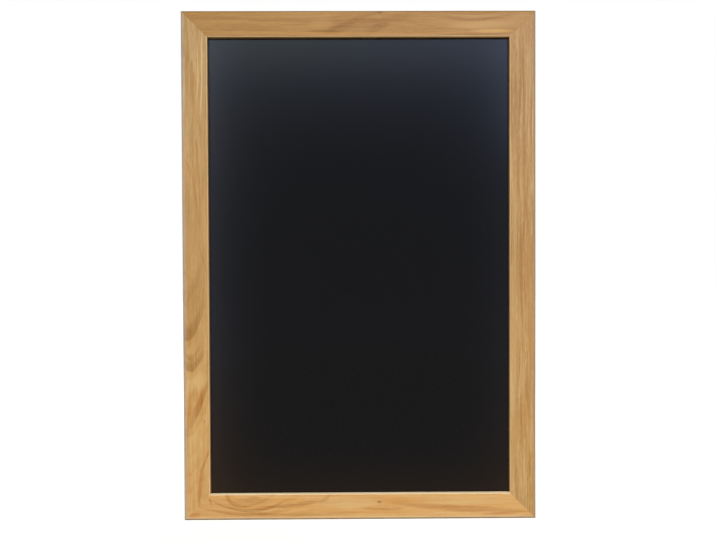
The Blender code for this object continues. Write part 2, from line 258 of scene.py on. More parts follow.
def round_over(width: float, steps: int, affect: str = "EDGES") -> None:
    """Bevel what is selected to a round of that width."""
    bpy.ops.mesh.bevel(offset_type="OFFSET", offset=width, segments=steps, profile=0.5, affect=affect)


def saw(place: Vector, normal: Vector) -> None:
    """Cut everything off beyond a plane and close the cut."""
    bpy.ops.mesh.select_all(action="SELECT")
    bpy.ops.mesh.bisect(plane_co=place, plane_no=normal, use_fill=True, clear_outer=True)


def apply_modifier(piece: Piece, kind: str, **settings: Any) -> None:
    """Add a modifier with its settings and apply it.

    Args:
        piece: the object that gets it.
        kind: the modifier's type.
        settings: its own properties.
    """
    only(piece)
    modifier = piece.modifiers.new(kind.lower(), kind)
    for key, value in settings.items():
        setattr(modifier, key, value)
    bpy.ops.object.modifier_apply(modifier=modifier.name)


def carve(piece: Piece, cutters: list[Piece]) -> None:
    """Cut pockets into a piece and throw the cutters away.

    Args:
        piece: the object that gets the pockets.
        cutters: objects of the pockets' shapes.
    """
    for cutter in cutters:
        apply_modifier(piece, "BOOLEAN", object=cutter, operation="DIFFERENCE", solver="EXACT")
        bpy.data.objects.remove(cutter)


def ease_edges(piece: Piece, width: float, sharper_than: float = 40.0) -> None:
    """Take the sharpness off edges that turn by more than some degrees."""
    turn = math.radians(sharper_than)
    apply_modifier(piece, "BEVEL", width=width, segments=2, limit_method="ANGLE", angle_limit=turn)


def shade(piece: Piece, below: float = 40.0) -> None:
    """Shade a finished shape smooth over its rounds and flat over its faces.

    Args:
        piece: the object.
        below: edges that turn by less than this many degrees are shaded smooth.
    """
    only(piece)
    bpy.ops.object.shade_smooth_by_angle(angle=math.radians(below))
    apply_modifier(piece, "WEIGHTED_NORMAL", keep_sharp=True)


def copy_of(piece: Piece, name: str, offset: Vector) -> Piece:
    """Copy a piece with its own mesh, moved by an offset.

    Args:
        piece: the object to copy.
        name: the copy's name.
        offset: how far it moves.

    Returns:
        The copy, at the origin.
    """
    only(piece)
    bpy.ops.object.duplicate(linked=False)
    bpy.context.active_object.location = offset
    return named(name)


def settle(piece: Piece, node: str, material: Material, body: str = BOARD_BODY) -> None:
    """Dress a piece, put it on its body and let it stand for its CAD node.

    Args:
        piece: the finished object.
        node: the CAD node that it replaces.
        material: its finish.
        body: the body it moves with.
    """
    piece.data.materials.append(material)
    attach(piece, body)
    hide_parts(node)
    LOG.info("%s stands for %s on %s, %d faces", piece.name, node, body, len(piece.data.polygons))


def settle_alike(first: Piece, nodes: list[str], words: Words, material: Material) -> None:
    """Copy a piece to the other nodes of its kind and settle all.

    Args:
        first: the finished object for the first node.
        nodes: the CAD nodes.
        words: what is said in a node's name, and what its piece's name says in place of it.
        material: their finish.
    """
    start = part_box(nodes[0])[0]
    copies = [copy_of(first, node.replace(*words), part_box(node)[0] - start) for node in nodes[1:]]
    for node, piece in zip(nodes, [first, *copies], strict=True):
        settle(piece, node, material)


# Sides of the frame


class Side(Enum):
    """A side of the frame, with its CAD node and its outward direction."""

    TOP = ("top_rail", (0.0, 0.0, 1.0))
    BOTTOM = ("bottom_rail", (0.0, 0.0, -1.0))
    LEFT = ("left_stile", (-1.0, 0.0, 0.0))
    RIGHT = ("right_stile", (1.0, 0.0, 0.0))

    @property
    def node(self) -> str:
        """The CAD node of this side."""
        return self.value[0]

    @property
    def label(self) -> str:
        """The side's own word."""
        return self.node.split("_")[0]

    @property
    def outward(self) -> Vector:
        """The way out of the board."""
        return Vector(self.value[1])

    @property
    def along(self) -> Vector:
        """The way along the moulding, rightward or upward."""
        return X_AXIS if self.value[1][0] == 0.0 else Z_AXIS

    @property
    def grain_turn(self) -> float:
        """The turn about Y that lays the grain along a pattern's first axis."""
        return 0.0 if self.along == X_AXIS else -QUARTER

    @property
    def lip_way(self) -> float:
        """1 if the lip lies at the end of the turned pattern's last axis, -1 if at its start."""
        return -sum(self.value[1])


# Finishes


@dataclass(frozen=True)
class Finish:
    """A finish, named for the real material and how its surface was made."""

    name: str

    def material(self) -> Material:
        """Build the finish.

        Returns:
            The finished material.
        """
        made = bpy.data.materials.new(self.name)
        made.use_nodes = True
        made.node_tree.nodes.clear()
        add = partial(add_node, made.node_tree)
        add("OutputMaterial", self.shader(add))
        return made

    def shader(self, add: Add) -> Node:
        """Each finish adds its own nodes here and gives its shader."""
        raise NotImplementedError


@dataclass(frozen=True)
class Mark:
    """A streak, patch or speck in one board, in millimetres from the board's middle.

    The first number of a pair is along the grain, rightward or downward. The second is across the face,
    upward on a rail and rightward on a stile. A tilt turns the streak from the first way to the second, and
    a bow bends its ends that far to the second way. It fades that many times as far to the second way as its
    soft says, as a year's growth darkens slowly and ends at once.
    """

    at: tuple[float, float]
    reach: tuple[float, float]
    colour: str
    strength: float
    tilt: float = 0.0
    bow: float = 0.0
    soft: float = 1.0


@dataclass(frozen=True)
class EdgeTone:
    """A painted highlight, sheen or shade along one front edge of a board, on the lip partly rubbed lacquer.

    Width and depth are in millimetres, and least is the share of the strength that is left where the band
    is weakest.
    """

    colour: str
    strength: float
    width: float
    depth: float = 2.0
    least: float = 0.7


@dataclass(frozen=True)
class Heart:
    """Where the tree's heart lay under one board, in millimetres, which sets the figure on its face.

    across and depth place it, drift moves it across per millimetre along the grain, the two falls carry it
    down with the square of the distance before and after one place, and a swelling brings it nearer to the
    face around another.
    """

    across: float
    depth: float
    ring: float
    drift: float = 0.0
    fall_from: float = 0.0
    fall_before: float = 0.0
    fall_after: float = 0.0
    swell_at: float = 0.0
    swell_reach: float = 100.0
    swell: float = 0.0


@dataclass(frozen=True)
class LacqueredAlder(Finish):
    """Flat-sawn alder under satin clear lacquer.

    To the eye it is a warm honey brown with soft growth-ring figure, fine straight fibre, a few orange
    streaks and a low even sheen. Along the lip it is drawn paler, partly rubbed lacquer and partly a painted
    highlight, and along the outer edge it carries a painted sheen and painted shade.
    """

    side: Side
    heart: Heart
    start_colour: str
    end_colour: str
    ring_strength: float
    fibre_strength: float
    seed: float
    marks: tuple[Mark, ...]
    # The outer bands are painted sheen and painted shade on the outer round; the lip band is partly rubbed
    # lacquer and partly a painted highlight
    outer_sheen_and_shade: tuple[EdgeTone, ...]
    lip_wear_and_highlight: EdgeTone = EdgeTone("#E3C48E", 0.5, 2.2)
    half_face: float = 22.5
    half_run: float = 0.35
    roughness: float = 0.5
    swing: float = 0.05
    specular: float = 0.3

    def shader(self, add: Add) -> Node:
        """Lay the wood, its painted edge highlights and shade, and its lacquer over one another.

        Args:
            add: adds a node to the material.

        Returns:
            The shader.
        """
        low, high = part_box(self.side.node)
        face = (low + high) / 2
        face.y = low.y
        coords = add("TexCoord").outputs["Object"]
        centred = add("VectorMath", coords, face, operation="SUBTRACT")
        laid = add("Mapping", centred, Rotation=(0.0, self.side.grain_turn, 0.0))
        place = self._warped(add, laid)
        rings = self._rings(add, place)
        fibre = self._fibre(add, place)
        colour = self._colour(add, place, rings, fibre)
        way = self.side.lip_way
        # Paint the lip band, partly rubbed lacquer and partly a painted highlight, and the outer bands of
        # painted sheen and painted shade
        for tone, edge_way in ((self.lip_wear_and_highlight, way), *((tone, -way) for tone in self.outer_sheen_and_shade)):
            edge = self._edge_band(add, laid, tone, edge_way)
            colour = add("Mix", edge, colour, linear(tone.colour), **COLOURS)
        rough = add("MapRange", fibre, 0.0, 1.0, self.roughness + self.swing, self.roughness - self.swing)
        relief = add("Math", fibre, rings, operation="SUBTRACT")
        bump = add("Bump", Strength=0.3, Distance=0.0001, Height=relief)
        sheen = {"IOR": 1.5, "Specular_IOR_Level": self.specular}
        return add("BsdfPrincipled", Base_Color=colour, Roughness=rough, Normal=bump, **sheen)

    def _warped(self, add: Add, laid: Node) -> Node:
        """Bend the grain slowly, as growth bends round an unseen branch.

        Args:
            add: adds a node to the material.
            laid: the place in the board, with the grain along the first axis and the face's middle at zero.

        Returns:
            The place in the wood.
        """
        # The bends are about 150 mm long and 30 mm wide, and up to 3 mm high, with smaller ones on them
        drawn = add("Mapping", laid, Location=(self.seed, 0.0, 0.0), Scale=(6.5, 20.0, 33.0))
        bend = add("TexNoise", Vector=drawn, Scale=1.0, Detail=4.0, Roughness=0.55)
        centred = add("VectorMath", bend.outputs["Color"], (0.5, 0.5, 0.5), operation="SUBTRACT")
        return add("VectorMath", centred, (0.0, 0.012, 0.012), laid, operation="MULTIPLY_ADD")

    def _rings(self, add: Add, place: Node) -> Node:
        """Draw the year rings where they meet the surface.

        Args:
            add: adds a node to the material.
            place: the place in the wood.

        Returns:
            The node that is 0 in early wood and 1 in a strong late-wood line.
        """
        heart = self.heart
        along, inward, across = add("SeparateXYZ", place).outputs
        off = add("Math", along, heart.fall_from * MM, operation="SUBTRACT")
        depth: Any = heart.depth * MM
        for way, fall in (("MINIMUM", heart.fall_before), ("MAXIMUM", heart.fall_after)):
            part = add("Math", off, 0.0, operation=way)
            square = add("Math", part, part, operation="MULTIPLY")
            depth = add("Math", square, fall / MM, depth, operation="MULTIPLY_ADD")
        swell_off = add("Math", along, heart.swell_at * MM, operation="SUBTRACT")
        swell_far = add("Math", swell_off, operation="ABSOLUTE")
        swell = add("MapRange", swell_far, 0.0, heart.swell_reach * MM, heart.swell * MM, 0.0, **SMOOTH)
        depth = add("Math", depth, swell, operation="SUBTRACT")
        aside = add("Math", along, heart.drift, heart.across * MM, operation="MULTIPLY_ADD")
        here = add("CombineXYZ", 0.0, inward, across)
        core = add("CombineXYZ", 0.0, depth, aside)
        reach = add("VectorMath", here, core, operation="DISTANCE")
        count = add("Math", reach, heart.ring * MM, operation="DIVIDE")
        # Rings wander by a part of their width over about 100 mm
        wander_place = add("Mapping", place, Scale=(10.0, 60.0, 60.0))
        wander = add("TexNoise", Vector=wander_place, Scale=1.0, Detail=3.0)
        year = add("Math", wander, 0.7, count, operation="MULTIPLY_ADD")
        # A ring darkens slowly through its season, ends at once, and no two are equally dark
        season = add("Math", year, operation="FRACT")
        rise = add("Math", season, 2.4, operation="POWER")
        fall = add("MapRange", season, 0.9, 1.0, 1.0, 0.0, **SMOOTH)
        late = add("Math", rise, fall, operation="MULTIPLY")
        number = add("Math", year, operation="FLOOR")
        numbered = add("Math", number, self.seed, operation="ADD")
        draw = add("TexWhiteNoise", W=numbered, noise_dimensions="1D")
        weight = add("MapRange", draw, 0.0, 1.0, 0.3, 1.0)
        strong = add("Math", late, weight, operation="MULTIPLY")
        fading = add("MapRange", wander, 0.3, 0.6, 1.0, 0.35)
        return add("Math", strong, fading, operation="MULTIPLY")

    def _fibre(self, add: Add, place: Node) -> Node:
        """Draw the straight fibre in four widths.

        Args:
            add: adds a node to the material.
            place: the place in the wood.

        Returns:
            The fibre's dark and light, 0 to 1.
        """
        # Bands of 160 by 6 mm, bundles of 80 by 2.2 mm, dashes of 12 by 1.4 mm, which stand for groups of
        # pores that would vanish in the render, and single pores of 4 by 0.3 mm for a close look
        scales = (
            ((6.0, 60.0, 165.0), 0.3),
            ((12.0, 200.0, 450.0), 0.34),
            ((85.0, 600.0, 700.0), 0.22),
            ((250.0, 3000.0, 3300.0), 0.14),
        )
        total: Any = 0.0
        for scale, share in scales:
            stretched = add("Mapping", place, Location=(0.0, self.seed, 0.0), Scale=scale)
            noise = add("TexNoise", Vector=stretched, Scale=1.0, Detail=1.5)
            total = add("Math", noise, share, total, operation="MULTIPLY_ADD")
        return add("MapRange", total, 0.37, 0.63)

    def _colour(self, add: Add, place: Node, rings: Node, fibre: Node) -> Node:
        """Lay tone, rings, fibre and marks over one another.

        Args:
            add: adds a node to the material.
            place: the place in the wood.
            rings: the late-wood lines.
            fibre: the fibre's dark and light.

        Returns:
            The board's colour.
        """
        along = add("SeparateXYZ", place).outputs[0]
        # Clouds of tone are about 120 mm long and 15 mm wide
        cloud_place = add("Mapping", place, Location=(0.0, self.seed, 0.0), Scale=(8.0, 60.0, 60.0))
        cloud = add("TexNoise", Vector=cloud_place, Scale=1.0, Detail=2.0)
        run = add("MapRange", along, -self.half_run, self.half_run, -0.5, 0.5)
        tone = add("Math", cloud, run, operation="ADD")
        colour = add("Mix", tone, linear(self.start_colour), linear(self.end_colour), **COLOURS)
        # Darker wood is also redder, which a power of the colour gives
        strength = self.fibre_strength
        grain_power = add("MapRange", fibre, 0.0, 1.0, 1.0 + strength, 1.0 - strength)
        power = add("Math", rings, self.ring_strength, grain_power, operation="MULTIPLY_ADD")
        colour = add("Gamma", colour, power)
        # Dark fibre takes more of a mark than pale fibre
        uptake = add("MapRange", fibre, 0.0, 1.0, 1.25, 0.55)
        for mark in self.marks:
            blot = self._blot(add, place, mark)
            share = add("Math", blot, uptake, operation="MULTIPLY", use_clamp=True)
            colour = add("Mix", share, colour, linear(mark.colour), **COLOURS)
        return colour

    def _blot(self, add: Add, place: Node, mark: Mark) -> Node:
        """Draw where one mark lies.

        Args:
            add: adds a node to the material.
            place: the place in the wood.
            mark: the streak, patch or speck.

        Returns:
            The node that rises from 0 at the mark's rim to its strength.
        """
        fitted = add(
            "Mapping",
            place,
            Location=(mark.at[0] * MM, 0.0, mark.at[1] * MM),
            Rotation=(0.0, -math.radians(mark.tilt), 0.0),
            Scale=(mark.reach[0] * MM, 1.0, mark.reach[1] * MM),
            vector_type="TEXTURE",
        )
        along, _, across = add("SeparateXYZ", fitted).outputs
        long = add("Math", along, along, operation="MULTIPLY")
        bent = add("Math", long, -mark.bow / mark.reach[1], across, operation="MULTIPLY_ADD")
        gentle = add("Math", bent, mark.soft, operation="DIVIDE")
        steep = add("Math", bent, -1.0, operation="MULTIPLY")
        beside = add("Math", gentle, steep, operation="MAXIMUM")
        rim = add("Math", beside, beside, long, operation="MULTIPLY_ADD")
        return add("MapRange", rim, 1.0, 0.0, 0.0, mark.strength, **SMOOTH)

    def _edge_band(self, add: Add, laid: Node, tone: EdgeTone, way: float) -> Node:
        """Find the band along one front edge.

        Args:
            add: adds a node to the material.
            laid: the place in the board.
            tone: the edge's strength and width.
            way: 1 for the edge at the end of the last axis, -1 for the one at its start.

        Returns:
            The node that is 0 on the face and rises over the edge's round.
        """
        _, inward, across = add("SeparateXYZ", laid).outputs
        edge = self.half_face * MM
        width = tone.width * MM
        outward = add("Math", across, way, operation="MULTIPLY")
        # The edge bands' strength comes and goes every 20 mm
        patch_place = add("Mapping", laid, Scale=(50.0, 1.0, 1.0))
        patch = add("TexNoise", Vector=patch_place, Scale=1.0, Detail=2.0)
        amount = add("MapRange", patch, 0.3, 0.7, tone.least * tone.strength, tone.strength)
        near = add("MapRange", outward, edge - width, edge - 0.4 * width, 0.0, amount, **SMOOTH)
        return add("MapRange", inward, 0.6 * tone.depth * MM, tone.depth * MM, near, 0.0, **SMOOTH)


@dataclass(frozen=True)
class ChalkCoat(Finish):
    """Rolled black chalkboard paint on hardboard.

    To the eye it is a flat charcoal black with a fine tooth, a faint film of chalk and dust along three edges
    that is also a painted reflection of the wooden lip, and a soft bluish sheen where a bright lamp stands in
    its mirror direction. Its colour is drawn lighter and bluer towards the top and darker and warmer towards
    the bottom: a painted sheen and painted shade.
    """

    name: str = "rolled_black_chalk_paint"
    # Clean paint is lighter and bluer at the top and darker and warmer at the bottom, painted sheen and
    # shade; the film along the edges is chalk dust and also a painted reflection of the wooden lip
    clean_sheen_top: str = "#070709"
    clean_shade_low: str = "#040302"
    dust_and_reflection_top: str = "#323236"
    dust_and_reflection_low: str = "#3C2814"
    roughness: float = 0.2
    swing: float = 0.015
    specular: float = 0.086
    half_width: float = 0.255
    half_height: float = 0.387
    dust_and_reflection_left: float = 0.47
    dust_and_reflection_right: float = 0.2
    dust_and_reflection_bottom: float = 0.21
    dust_and_reflection_fade: float = 0.034

    def shader(self, add: Add) -> Node:
        """Lay dust and smears, an edge film that is also painted reflection, and painted sheen and shade.

        Args:
            add: adds a node to the material.

        Returns:
            The shader.
        """
        coords = add("TexCoord").outputs["Object"]
        side, _, height = add("SeparateXYZ", coords).outputs
        # The tooth of the paint is about 0.5 mm and is drawn at 1.6 mm, or it would vanish in the render
        tooth = add("TexNoise", Vector=coords, Scale=620.0, Detail=2.0)
        # A dry wipe leaves dust in specks of about 3 mm and faint slanting smears of about 90 by 8 mm
        dust = add("TexNoise", Vector=coords, Scale=330.0, Detail=3.0, Roughness=0.6)
        smear_size = (0.09, 1.0, 0.008)
        slanted = add("Mapping", coords, Rotation=(0.0, 1.0, 0.0), Scale=smear_size, vector_type="TEXTURE")
        smear = add("TexNoise", Vector=slanted, Scale=1.0, Detail=3.0)
        specks = add("MapRange", dust, 0.45, 0.75, 0.0, 0.05)
        smears = add("MapRange", smear, 0.5, 0.8, 0.0, 0.02)
        dust_and_reflection: Any = add("Math", specks, smears, operation="ADD")
        # Along three edges a film that is chalk dust and also a painted reflection of the wooden lip
        edges = (
            (side, 1.0, self.half_width, self.dust_and_reflection_left),
            (side, -1.0, self.half_width, self.dust_and_reflection_right),
            (height, 1.0, self.half_height, self.dust_and_reflection_bottom),
        )
        for socket, way, reach, amount in edges:
            inset = add("Math", socket, way, reach, operation="MULTIPLY_ADD")
            faded = add("Math", inset, -self.dust_and_reflection_fade, operation="DIVIDE")
            left_over = add("Math", math.e, faded, operation="POWER")
            dust_and_reflection = add("Math", left_over, amount, dust_and_reflection, operation="MULTIPLY_ADD")
        mottle = add("MapRange", dust, 0.3, 0.7, 0.85, 1.15)
        dust_and_reflection = add("Math", dust_and_reflection, mottle, operation="MULTIPLY", use_clamp=True)
        # Painted sheen and shade: clean paint and film are lighter and bluer towards the top, darker and
        # warmer towards the bottom
        level = add("MapRange", height, -self.half_height, -self.half_height * 0.25)
        clean = add("Mix", level, linear(self.clean_shade_low), linear(self.clean_sheen_top), **COLOURS)
        dust_and_reflection_colour = add("Mix", level, linear(self.dust_and_reflection_low), linear(self.dust_and_reflection_top), **COLOURS)
        colour = add("Mix", dust_and_reflection, clean, dust_and_reflection_colour, **COLOURS)
        rough = add("MapRange", dust, 0.0, 1.0, self.roughness - self.swing, self.roughness + self.swing)
        bump = add("Bump", Strength=0.12, Distance=0.00006, Height=tooth)
        sheen = {"IOR": 1.5, "Specular_IOR_Level": self.specular}
        return add("BsdfPrincipled", Base_Color=colour, Roughness=rough, Normal=bump, **sheen)


@dataclass(frozen=True)
class PressedHardboard(Finish):
    """Bare wet-pressed hardboard with its screen side out.

    To the eye it is a dull brown felt of wood fibre with the dimples of the wire screen it was pressed on.
    """

    name: str = "screen_backed_hardboard"
    dark: str = "#5E4128"
    pale: str = "#8C6A47"
    fleck: str = "#B08D62"
    roughness: float = 0.78
    swing: float = 0.08
    screen: float = 0.0028

    def shader(self, add: Add) -> Node:
        """Felt the fibres and press the screen into them.

        Args:
            add: adds a node to the material.

        Returns:
            The shader.
        """
        coords = add("TexCoord").outputs["Object"]
        felt = add("TexNoise", Vector=coords, Scale=9.0, Detail=6.0, Roughness=0.65)
        # Fibres are about 3 mm long and 0.2 mm thick and are drawn 0.8 mm thick
        combed = add("Mapping", coords, Rotation=(0.0, 0.5, 0.0), Scale=(330.0, 900.0, 1300.0))
        fibre = add("TexNoise", Vector=combed, Scale=1.0, Detail=2.0, Distortion=1.2)
        fleck = add("MapRange", fibre, 0.62, 0.8, 0.0, 0.55, **SMOOTH)
        # The wire screen has a pitch of about 1.4 mm and is drawn at 2.8 mm so that it shows
        side, _, height = add("SeparateXYZ", coords).outputs
        waves = []
        for socket in (side, height):
            phase = add("Math", socket, math.tau / self.screen, operation="MULTIPLY")
            waves.append(add("Math", phase, operation="SINE"))
        weave = add("Math", *waves, operation="MULTIPLY")
        dimple = add("MapRange", weave, -1.0, 1.0)
        colour = add("Mix", felt, linear(self.dark), linear(self.pale), **COLOURS)
        colour = add("Mix", fleck, colour, linear(self.fleck), **COLOURS)
        # The dimples are drawn darker and the ridges a little lighter: painted shade and painted highlight
        # over the bump
        shadow = add("MapRange", dimple, 0.0, 1.0, 0.86, 1.06)
        colour = add("Mix", 1.0, colour, shadow, blend_type="MULTIPLY", **COLOURS)
        relief = add("Math", dimple, 0.6, fibre, operation="MULTIPLY_ADD")
        bump = add("Bump", Strength=0.5, Distance=0.0002, Height=relief)
        rough = add("MapRange", fibre, 0.0, 1.0, self.roughness - self.swing, self.roughness + self.swing)
        sheen = {"IOR": 1.5, "Specular_IOR_Level": 0.25}
        return add("BsdfPrincipled", Base_Color=colour, Roughness=rough, Normal=bump, **sheen)


@dataclass(frozen=True)
class PlatedSteel(Finish):
    """Pressed or drawn steel under a thin zinc layer.

    Hot-dipped steel shows dull grey crystals, and electroplated steel a brighter grey with fine tumbling
    scratches and a faint tint from its passivation.
    """

    dark: str
    pale: str
    tint: str
    roughness: float
    crystal: float
    scratch: float = 0.2

    def shader(self, add: Add) -> Node:
        """Grow the crystals, stain them and scratch them.

        Args:
            add: adds a node to the material.

        Returns:
            The shader.
        """
        coords = add("TexCoord").outputs["Object"]
        spangle = add("TexVoronoi", Vector=coords, Scale=1.0 / self.crystal)
        cell = add("SeparateColor", spangle.outputs["Color"])
        # Scratches of 4 by 0.15 mm are drawn 0.35 mm wide
        drawn = add("Mapping", coords, Rotation=(0.3, 0.9, 0.2), Scale=(250.0, 2800.0, 2800.0))
        scratch = add("TexNoise", Vector=drawn, Scale=1.0, Detail=2.0)
        # Stains are about 7 mm wide
        stain = add("TexNoise", Vector=coords, Scale=140.0, Detail=3.0)
        colour = add("Mix", cell, linear(self.dark), linear(self.pale), **COLOURS)
        stained = add("MapRange", stain, 0.5, 0.75, 0.0, 0.6, **SMOOTH)
        colour = add("Mix", stained, colour, linear(self.tint), **COLOURS)
        worn = add("Math", scratch, stain, operation="ADD")
        rough = add("MapRange", worn, 0.6, 1.4, self.roughness - 0.08, self.roughness + 0.1)
        bump = add("Bump", Strength=self.scratch, Distance=0.00004, Height=scratch)
        return add("BsdfPrincipled", Base_Color=colour, Metallic=1.0, Roughness=rough, Normal=bump)


@dataclass(frozen=True)
class MouldedRubber(Finish):
    """Moulded grey rubber.

    To the eye it is a dull dark grey with a bloom of paler dust and the fine grain of its mould.
    """

    name: str = "moulded_grey_rubber"
    dark: str = "#3A3A3B"
    bloom: str = "#5C5B59"
    roughness: float = 0.68

    def shader(self, add: Add) -> Node:
        """Dust the rubber and grain it.

        Args:
            add: adds a node to the material.

        Returns:
            The shader.
        """
        coords = add("TexCoord").outputs["Object"]
        dust = add("TexNoise", Vector=coords, Scale=260.0, Detail=5.0, Roughness=0.7)
        # The mould's grain is about 0.2 mm and is drawn at 0.4 mm
        grain = add("TexNoise", Vector=coords, Scale=2500.0, Detail=1.0)
        colour = add("Mix", dust, linear(self.dark), linear(self.bloom), **COLOURS)
        rough = add("MapRange", dust, 0.0, 1.0, self.roughness - 0.06, self.roughness + 0.1)
        bump = add("Bump", Strength=0.4, Distance=0.00005, Height=grain)
        return add("BsdfPrincipled", Base_Color=colour, Roughness=rough, IOR=1.52, Normal=bump)


GALVANISED = PlatedSteel("hot_dipped_steel_sheet", "#949698", "#AEB0B1", "#9A9890", 0.42, crystal=0.0016)
ZINC_PLATE = PlatedSteel("bright_zinc_plate", "#A6AAAE", "#B6BABE", "#B2AE9E", 0.27, crystal=0.0005)


# The mitred frame


@dataclass
class MitredFrame:
    """Four lengths of wooden moulding with a rebate, cut at 45 degrees and glued."""

    face: float = 0.045
    lip: float = 0.008
    rebate: float = 0.010
    outer_round: float = 0.006
    outer_steps: int = 14
    lip_round: float = 0.0012
    lip_steps: int = 8
    back_ease: float = 0.0008
    back_steps: int = 3
    glue_line: float = 0.00006
    arris: float = 0.0001
    wedge_sheet: float = 0.0008
    wedge_opening: float = 0.00225
    slot_play: float = 0.0003
    pilot_radius: float = 0.0018
    pilot_sides: int = 24

    def build(self, woods: tuple[LacqueredAlder, ...]) -> None:
        """Build and dress the four sides.

        Args:
            woods: the wood of each side.
        """
        for wood in woods:
            moulding = self._moulding(wood.side)
            ease_edges(moulding, self.arris)
            carve(moulding, self._pockets(wood.side))
            shade(moulding)
            settle(moulding, wood.side.node, wood.material())

    def _moulding(self, side: Side) -> Piece:
        """Shape one length: lip, rebate, rounds and mitres.

        Args:
            side: which side of the frame it is.

        Returns:
            The moulding without its pockets.
        """
        low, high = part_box(side.node)
        out, along = side.outward, side.along
        front, back = low.y, high.y
        edge = max(low.dot(out), high.dot(out))
        half_run = max(abs(low.dot(along)), abs(high.dot(along))) + self.face
        inner_edge = edge - self.face
        wall = inner_edge + self.rebate
        corner_a = out * inner_edge - along * half_run + Y_AXIS * front
        corner_b = out * edge + along * half_run + Y_AXIS * (front + self.lip)
        pairs = list(zip(corner_a, corner_b, strict=True))
        piece = block(side.label + "_moulding", Vector(map(min, pairs)), Vector(map(max, pairs)))
        rounds = (
            (edge, front, self.outer_round, self.outer_steps),
            (inner_edge, front, self.lip_round, self.lip_steps),
            (edge, back, self.back_ease, self.back_steps),
        )
        with editing(piece):
            pick(piece, Pick.FACES, lambda face: face.normal.y > FACING)
            bpy.ops.mesh.bisect(plane_co=out * wall, plane_no=out)
            pick(
                piece,
                Pick.FACES,
                lambda face: face.normal.y > FACING and face.calc_center_median().dot(out) > wall,
            )
            push(Y_AXIS * (back - front - self.lip))
            for reach, depth, width, steps in rounds:
                pick(piece, Pick.EDGES, lies_at((out, reach), (Y_AXIS, depth)))
                round_over(width, steps)
            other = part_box(Side.LEFT.node if along == X_AXIS else Side.TOP.node)
            far = max(abs(corner.dot(along)) for corner in other)
            for way in (-1.0, 1.0):
                normal = (along * way - out).normalized()
                saw(out * edge + along * way * far - normal * self.glue_line / 2, normal)
        return piece

    def _pockets(self, side: Side) -> list[Piece]:
        """Make the cutters for what is driven into one side.

        Args:
            side: which side of the frame it is.

        Returns:
            Blocks for points and wedges and, in a stile, round blanks for the hanger's screws.
        """
        play = Vector((self.slot_play,) * 3)
        cutters = []
        for node in sorted(frame["nodes"]):
            low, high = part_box(node)
            if node.startswith(side.label + "_point"):
                cutters.append(block(node + "_slot", low - play, high + play))
            elif "_wedge_" in node and side.label in node:
                cutters += self._wedge_slots(node, low - play, high + play)
            elif "_screw_" in node and node.startswith(side.label):
                centre = (low + high) / 2
                depth = high.y - low.y + 2 * self.slot_play
                pilot = turned_blank(node + "_pilot", centre, self.pilot_radius, depth, self.pilot_sides)
                cutters.append(pilot)
        return cutters

    def _wedge_slots(self, node: str, low: Vector, high: Vector) -> list[Piece]:
        """Make the cutters for the two legs of a corner wedge.

        Args:
            node: the wedge's CAD node.
            low: its lowest corner, with play.
            high: its highest corner, with play.

        Returns:
            A block along X and a block along Z, both open to the back.
        """
        cutters = []
        width = self.wedge_sheet + 2 * self.slot_play
        for axis in (0, 2):
            leg_low = low.copy()
            leg_high = high + Y_AXIS * self.wedge_opening
            if low[axis] > 0:
                leg_low[axis] = high[axis] - width
            else:
                leg_high[axis] = low[axis] + width
            cutters.append(block(f"{node}_slot_{axis}", leg_low, leg_high))
        return cutters


# Boards in the rebate


@dataclass
class PanelPack:
    """The chalk panel and the backing board behind it."""

    panel_ease: float = 0.0006
    backing_chamfer: float = 0.0009
    ease_steps: int = 3
    arris: float = 0.0002
    bare_facing: float = 0.2

    def build(self, coat: ChalkCoat, core: PressedHardboard) -> None:
        """Build and dress both boards.

        Args:
            coat: the paint on the front of the panel.
            core: the bare hardboard of the backing and of the panel's own edges and back.
        """
        hardboard = core.material()
        panel = self._board("painted_chalk_board", "chalk_panel", -1.0, self.panel_ease)
        settle(panel, "chalk_panel", coat.material())
        panel.data.materials.append(hardboard)
        for face in panel.data.polygons:
            face.material_index = 1 if face.normal.y > self.bare_facing else 0
        backing = self._board("hardboard_back", "backing_board", 1.0, self.backing_chamfer)
        settle(backing, "backing_board", hardboard)

    def _board(self, name: str, node: str, shown: float, ease: float) -> Piece:
        """Cut a board and ease the edges of its shown face.

        Args:
            name: the piece's name.
            node: the CAD node that gives its size.
            shown: -1 if the shown face looks forward, 1 if backward.
            ease: width of the eased edge.

        Returns:
            The board.
        """
        low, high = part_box(node)
        piece = block(name, low, high)
        with editing(piece):
            pick(piece, Pick.EDGES, lies_at((Y_AXIS, low.y if shown < 0 else high.y)))
            round_over(ease, self.ease_steps)
        ease_edges(piece, self.arris)
        shade(piece)
        return piece


# Retaining points and wedges


